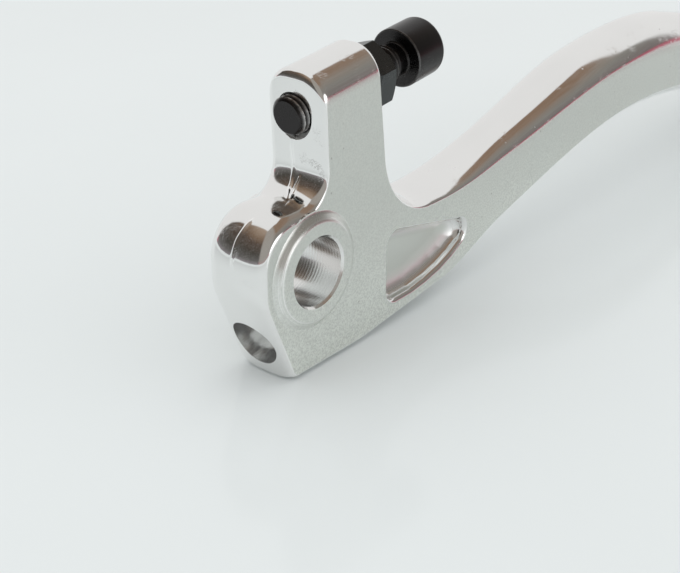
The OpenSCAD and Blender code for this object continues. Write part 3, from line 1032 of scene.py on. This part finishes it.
# The thread's form: rings in a turn, shares of its crest and flanks, and rise at its two ends.
THREAD_LAYERS = 14
THREAD_CREST = 0.16
THREAD_FLANKS = 0.66
TIP_CHAMFER = 0.12
TIP_SLOPE = 1.3
RUN_OUT_SLOPE = 1.2
# How bare the crests at the tip, the last turns and the head's near edge are worn, and where.
TIP_WEAR = 0.8
LAST_TURN_WEAR = 0.10
HEAD_WEAR = 0.16
WORN_TO = 1.4
WORN_FADE = 0.6
LAST_TURN = (0.9, 0.8)


def turned_ring(radius, angles, height):
    """One ring of points round Z."""
    return np.stack(
        (radius * np.cos(angles), radius * np.sin(angles), np.full(len(angles), height)), axis=1
    )


def thread_rings(angles, pitch, depth, neck_start, neck_r):
    """Rings of the thread, from its chamfered tip to its end at the neck."""
    rings = []
    for height in np.arange(SCREW_TIP, neck_start, pitch / THREAD_LAYERS):
        turn = (height / pitch - angles / (2 * math.pi)) % 1.0
        slope = np.clip((np.abs(turn - 0.5) * 2 - THREAD_CREST) / THREAD_FLANKS, 0, 1)
        radius = SCREW_R - depth * slope
        tip_limit = SCREW_R - depth - TIP_CHAMFER + (height - SCREW_TIP) * TIP_SLOPE
        run_out = neck_r + (neck_start - height) * RUN_OUT_SLOPE
        radius = np.minimum(radius, min(tip_limit, max(run_out, neck_r)))
        rings.append(turned_ring(radius, angles, height))
    return rings


def head_profile(neck_start, neck_r):
    """Profile of the neck and the contact head."""
    neck_end = HEAD_START - NECK_ROUND
    profile = [(neck_r, h) for h in np.linspace(neck_start, neck_end, 3)]
    profile += arc((neck_r + NECK_ROUND, neck_end), NECK_ROUND, 180, 90, 4)[1:]
    profile += [(2.9, HEAD_START), (3.3, HEAD_START)]
    profile += arc((CONTACT_R - CONTACT_EDGE, HEAD_START + CONTACT_EDGE), CONTACT_EDGE, -90, 0, 4)
    profile += [(CONTACT_R, HEAD_START + 1.6), (CONTACT_R, HEAD_START + 3.2)]
    profile += arc((CONTACT_R - CONTACT_ROUND, HEAD_END - CONTACT_ROUND), CONTACT_ROUND, 0, 90, 8)
    return profile + [(2.2, HEAD_END), (1.0, HEAD_END)]


def screw_wear(points, depth, neck_start, neck_r):
    """How far the oxide is rubbed off at each point of the screw."""
    radii, levels = np.linalg.norm(points[:, :2], axis=1), points[:, 2]
    crests = np.clip((radii - SCREW_R + depth) / depth, 0, 1) ** 2
    crests *= np.clip((WORN_TO - levels) / WORN_FADE, 0, 1)
    near_edge = (levels > HEAD_START) & (levels < HEAD_START + CONTACT_EDGE)
    rubbed = np.where(near_edge & (radii > CONTACT_R - CONTACT_EDGE), HEAD_WEAR, 0.0)
    before_neck, half_reach = LAST_TURN
    last = np.clip((radii - neck_r) / depth, 0, 1) ** 2
    last *= np.abs(levels - neck_start + before_neck) < half_reach
    return np.maximum(np.maximum(crests * TIP_WEAR, rubbed), last * LAST_TURN_WEAR)


class LEVER_OT_adjuster_screw(bpy.types.Operator):
    """Build the adjuster screw with its thread, neck and contact head"""

    bl_idname = "lever.adjuster_screw"
    bl_label = "Adjuster Screw"

    def execute(self, context):
        settings = context.scene.lever_adjuster
        pitch, depth = settings.pitch / MM, settings.thread_depth / MM
        neck_start = HEAD_START - settings.undercut / MM
        neck_r = SCREW_R - depth - NECK_UNDER
        angles = 2 * math.pi * np.arange(SCREW_STEPS) / SCREW_STEPS

        rings = thread_rings(angles, pitch, depth, neck_start, neck_r)
        rings += [turned_ring(r, angles, h) for r, h in head_profile(neck_start, neck_r)]
        end_r = rings[0][0][0]
        rings = [turned_ring(end_r * share, angles, SCREW_TIP) for share in (0.35, 0.7)] + rings
        points = np.concatenate([[(0, 0, SCREW_TIP)], *rings, [(0, 0, HEAD_END)]])
        faces = fan_closed(SCREW_STEPS, len(rings))
        screw = outward(mesh_object("Adjuster", placed(points, along_screw()), faces))
        worn = screw.data.attributes.new("worn", "FLOAT", "POINT")
        worn.data.foreach_set("value", screw_wear(points, depth, neck_start, neck_r))
        screw.data.materials.append(black_oxide("Black screw", settings.steel, settings.sheen))
        finish_piece(screw, "adjuster", "black_steel", "adjuster_screw")
        return {"FINISHED"}


def rounded_hexagon(corner_r, edge, turn):
    """Outline of a hexagon with rounded corners, the first of them at the given angle."""
    centre_r = corner_r - edge / math.cos(math.pi / 6)

    def on_corner(middle, bend):
        return (
            centre_r * math.cos(middle) + edge * math.cos(middle + bend),
            centre_r * math.sin(middle) + edge * math.sin(middle + bend),
        )

    outline = []
    for side in range(6):
        middle = math.pi / 3 * side + turn
        outline += [on_corner(middle, bend) for bend in np.radians(np.linspace(-30, 30, 7))]
        first = np.array(outline[-1])
        second = np.array(on_corner(middle + math.pi / 3, -math.pi / 6))
        outline += [tuple(first * (1 - s) + second * s) for s in np.linspace(0, 1, 14)[1:-1]]
    return np.array(outline)


class LEVER_OT_lock_nut(bpy.types.Operator):
    """Build the chamfered hexagon nut round the screw"""

    bl_idname = "lever.lock_nut"
    bl_label = "Lock Nut"

    def execute(self, context):
        settings = context.scene.lever_nut
        flat_r, height, bore_r, chamfer = 4.0, 3.6, 2.55, 0.5
        face_r = flat_r - 0.1
        flat_end = face_r - 0.5
        corner_r = flat_r / math.cos(math.pi / 6)
        outline = rounded_hexagon(corner_r, settings.edge / MM, settings.turn)
        radius = np.linalg.norm(outline, axis=1)
        direction = outline / radius[:, None]
        # The chamfer cone starts on the face circle and reaches its full depth at the corners.
        drop = np.clip((radius - face_r) / (corner_r + 0.1 - face_r) * chamfer, 0, None)

        def ring(radii, heights):
            across = direction * np.broadcast_to(radii, radius.shape)[:, None]
            return np.column_stack((across, np.broadcast_to(heights, radius.shape)))

        soft, mouth, least = 0.06, 0.3, 0.01
        lower = [
            (bore_r, mouth),
            (bore_r + mouth, 0.0),
            (flat_end, 0.0),
            (face_r - soft, 0.0),
            ((face_r + radius) / 2, drop / 2),
            (radius - soft, np.maximum(drop - soft * 0.5, least)),
            (radius, drop + soft),
        ]
        upper = [(radii, height - heights) for radii, heights in reversed(lower)]
        rings = [ring(*level) for level in (*lower, (radius, height / 2), *upper)]
        points = np.concatenate(rings) + (0, 0, ARM_DEPTH)
        faces = loft_faces(len(outline), len(rings), True)
        nut = outward(mesh_object("Lock.nut", placed(points, along_screw()), faces))
        nut.data.materials.append(black_oxide("Worn black nut", settings.steel, settings.sheen))
        finish_piece(nut, "nut", "black_steel", "lock_nut")
        return {"FINISHED"}


# Stage


CAMERA_PLACE = (-0.10106, -0.09225, 0.06406)
CAMERA_RIGHT = (0.63800423, -0.77003057, 0.00187695)
CAMERA_UP = (0.34058825, 0.28437678, 0.89617492)
CAMERA_BACK = (-0.69061585, -0.57112412, 0.44369695)
SENSOR = 36.0
LENS = 63.53
CLIP = (0.005, 20.0)

TABLE_R = 2500.0
TABLE_STEPS = 64
TABLE_GAP = 0.005
# Where the table's shine fades out, in metres from the pivot.
SHINE_FADE = (0.16, 0.34)
LAMP_PLACE = (-0.15, 0.10, 0.55)
LAMP_AIM = (0.03, 0, 0)
LAMP_SIZE = 0.45
LAMP_COLOUR = (1.0, 0.985, 0.975)

# What stands round the table in reflections: bearing and height in degrees, and the cosines between
# which it fades. Planes through the middle are given by their normals.
SWEEP = (40, 0, (0.47, 0.54))
LEFT_SIDE = (155, 0, (0.56, 0.67))
PALE_SIDE = (-125, 0, (0.80, 0.95))
WINDOW = (-80, 6, (0.955, 0.98))
SWEEP_TOP = (1, 1, -0.88)
SHEET_SIDES = ((1, 0, 0.27), (0, 1, 0.2), (-0.55, 1, 0.31))
SHEET_FADE = (0.5, 0.6)
SOFT_EDGE = 0.025
WHITE = (0.83, 0.825, 0.82)
PALE_GREY = (0.36, 0.34, 0.31)
SPECKLE_GREY = (0.50, 0.48, 0.46)
WINDOW_LIGHT = (1.7, 1.7, 1.7)
BACKDROP = (0.80, 0.84, 0.84)
# Colours of the room by the sine of the height over the horizon.
LEFT_SHADES = (
    (0.00, (0.24, 0.22, 0.23)),
    (0.12, (0.12, 0.115, 0.11)),
    (0.34, (0.055, 0.05, 0.042)),
    (0.66, (0.085, 0.06, 0.045)),
    (0.80, (0.20, 0.135, 0.09)),
    (0.95, (0.36, 0.27, 0.20)),
)
ROOM_SHADES = (
    (0.00, (0.50, 0.09, 0.15)),
    (0.06, (0.42, 0.10, 0.14)),
    (0.11, (0.17, 0.145, 0.14)),
    (0.50, (0.22, 0.21, 0.19)),
    (0.70, (0.25, 0.21, 0.175)),
    (0.79, (0.24, 0.16, 0.11)),
)


def table_surface(settings):
    """Pale glossy table top with a faint unevenness."""
    made, tree = new_material("Pale table")
    place = tree.place()
    cloud = tree.noise(place, 9.0, 3.0)
    shade = tree.span(cloud, *DRIFT, 0.0, 1.0)
    colour = tree.mix(shade, shaded(settings.table, 0.975), tuple(settings.table))
    rough = tree.span(cloud, *DRIFT, 0.45, 0.60)
    # The shine fades out round the lever, so that the far floor stays plain.
    reach = tree.node("ShaderNodeVectorMath", {0: place}, operation="LENGTH").outputs["Value"]
    shine = tree.span(reach, *SHINE_FADE, 0.5, 0.0, smooth=True)
    shader(
        tree,
        **{
            "Base Color": colour,
            "Roughness": rough,
            "Specular IOR Level": 0.0,
            "Coat Weight": shine,
            "Coat Roughness": 0.12,
        },
    )
    return made


def studio_world(settings):
    """Even pale light, and in reflections a white sweep, a sheet over the table and a darker room."""
    world = bpy.data.worlds.new("Studio")
    bpy.context.scene.world = world
    world.use_nodes = True
    tree = Tree(world.node_tree)
    direction = tree.node("ShaderNodeTexCoord").outputs["Generated"]
    axes = tree.axes(direction)
    level = {"X": axes["X"], "Y": axes["Y"], "Z": 0.0}
    level = tree.node("ShaderNodeCombineXYZ", level).outputs["Vector"]
    level = tree.node("ShaderNodeVectorMath", {0: level}, operation="NORMALIZE").outputs["Vector"]

    def towards(way, bearing, rise, limits, most=1.0):
        """The most where a direction is near an aim, fading to 0 away from it."""
        turn, tilt = math.radians(bearing), math.radians(rise)
        flat = math.cos(tilt)
        aim = (math.cos(turn) * flat, math.sin(turn) * flat, math.sin(tilt))
        return tree.fade(tree.dot(way, aim), limits, most)

    def side_of(normal):
        """1 on the side of a plane through the middle that its normal points to."""
        return tree.fade(tree.dot(direction, normal), (-SOFT_EDGE, SOFT_EDGE))

    # The white sweep stands behind the table, and a white sheet hangs over it.
    sweep = tree.times(towards(level, *SWEEP), side_of(SWEEP_TOP))
    sheet = side_of(SHEET_SIDES[0])
    for normal in SHEET_SIDES[1:]:
        sheet = tree.times(sheet, side_of(normal))
    sheet = tree.times(sheet, tree.fade(axes["Z"], SHEET_FADE))
    white = tree.maths("MAXIMUM", sweep, sheet)

    # To the left of the sweep the room is nearly black and brown, elsewhere a warm grey.
    left = towards(level, *LEFT_SIDE)
    pale = towards(level, *PALE_SIDE, 0.85)
    greys = tree.mix(pale, tree.ramp(axes["Z"], ROOM_SHADES), PALE_GREY)
    room = tree.mix(left, greys, tree.ramp(axes["Z"], LEFT_SHADES))
    speckle = tree.span(tree.noise(direction, 30.0, 4.0), 0.5, 0.75, 0.0, 0.4)
    room = tree.mix(speckle, room, SPECKLE_GREY)
    room = tree.mix(white, room, WHITE)
    room = tree.mix(towards(direction, *WINDOW), room, WINDOW_LIGHT)

    path = tree.node("ShaderNodeLightPath").outputs
    plain = tree.mix(path["Is Camera Ray"], (settings.ambient,) * 3, BACKDROP)
    seen = tree.mix(path["Is Glossy Ray"], plain, room)
    light = tree.node("ShaderNodeBackground", {"Color": seen, "Strength": 1.0})
    tree.node("ShaderNodeOutputWorld", {"Surface": light.outputs["Background"]})


class LEVER_OT_stage(bpy.types.Operator):
    """Lay the table, light the studio and place the camera"""

    bl_idname = "lever.stage"
    bl_label = "Stage"

    def execute(self, context):
        scene = context.scene
        settings = scene.lever_stage
        studio_world(settings)

        angles = 2 * math.pi * np.arange(TABLE_STEPS) / TABLE_STEPS
        level = -FOOT_DROP - TABLE_GAP
        points = [(TABLE_R * math.cos(a), TABLE_R * math.sin(a), level) for a in angles]
        table = mesh_object("Table", points, [tuple(range(TABLE_STEPS))])
        table.data.materials.append(table_surface(settings))

        lamp = bpy.data.lights.new("Overhead", "AREA")
        lamp.shape = "DISK"
        lamp.size = LAMP_SIZE
        lamp.energy = settings.overhead
        lamp.color = LAMP_COLOUR
        hung = bpy.data.objects.new("Overhead", lamp)
        scene.collection.objects.link(hung)
        hung.visible_glossy = False
        hung.location = LAMP_PLACE
        aim = Vector(LAMP_AIM) - hung.location
        hung.rotation_euler = aim.to_track_quat("-Z", "Y").to_euler()

        camera = bpy.data.cameras.new("Camera")
        camera.sensor_width = SENSOR
        camera.sensor_fit = "HORIZONTAL"
        camera.lens = LENS
        camera.clip_start, camera.clip_end = CLIP
        holder = bpy.data.objects.new("Camera", camera)
        scene.collection.objects.link(holder)
        axes = Matrix((CAMERA_RIGHT, CAMERA_UP, CAMERA_BACK)).transposed().to_4x4()
        holder.matrix_world = Matrix.Translation(CAMERA_PLACE) @ axes
        scene.camera = holder
        scene.view_settings.view_transform = "Standard"
        return {"FINISHED"}


class LEVER_PT_panel(bpy.types.Panel):
    """Settings and buttons of every piece"""

    bl_idname = "LEVER_PT_panel"
    bl_label = "Brake Lever"
    bl_space_type = "VIEW_3D"
    bl_region_type = "UI"
    bl_category = "Lever"

    def draw(self, context):
        scene = context.scene
        for operator, settings in (
            (LEVER_OT_forging, scene.lever_forging),
            (LEVER_OT_adjuster_screw, scene.lever_adjuster),
            (LEVER_OT_lock_nut, scene.lever_nut),
            (LEVER_OT_stage, scene.lever_stage),
        ):
            box = self.layout.box()
            for name in settings.__annotations__:
                box.prop(settings, name)
            box.operator(operator.bl_idname)


SETTINGS = {
    "lever_forging": ForgingSettings,
    "lever_adjuster": AdjusterSettings,
    "lever_nut": NutSettings,
    "lever_stage": StageSettings,
}
CLASSES = (
    *SETTINGS.values(),
    LEVER_OT_forging,
    LEVER_OT_adjuster_screw,
    LEVER_OT_lock_nut,
    LEVER_OT_stage,
    LEVER_PT_panel,
)


def register():
    for kind in CLASSES:
        bpy.utils.register_class(kind)
    for name, kind in SETTINGS.items():
        setattr(bpy.types.Scene, name, bpy.props.PointerProperty(type=kind))


def unregister():
    for name in SETTINGS:
        delattr(bpy.types.Scene, name)
    for kind in reversed(CLASSES):
        bpy.utils.unregister_class(kind)


def main():
    register()
    bpy.ops.lever.forging()
    bpy.ops.lever.adjuster_screw()
    bpy.ops.lever.lock_nut()
    bpy.ops.lever.stage()
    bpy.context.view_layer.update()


if __name__ == "__main__":
    main()
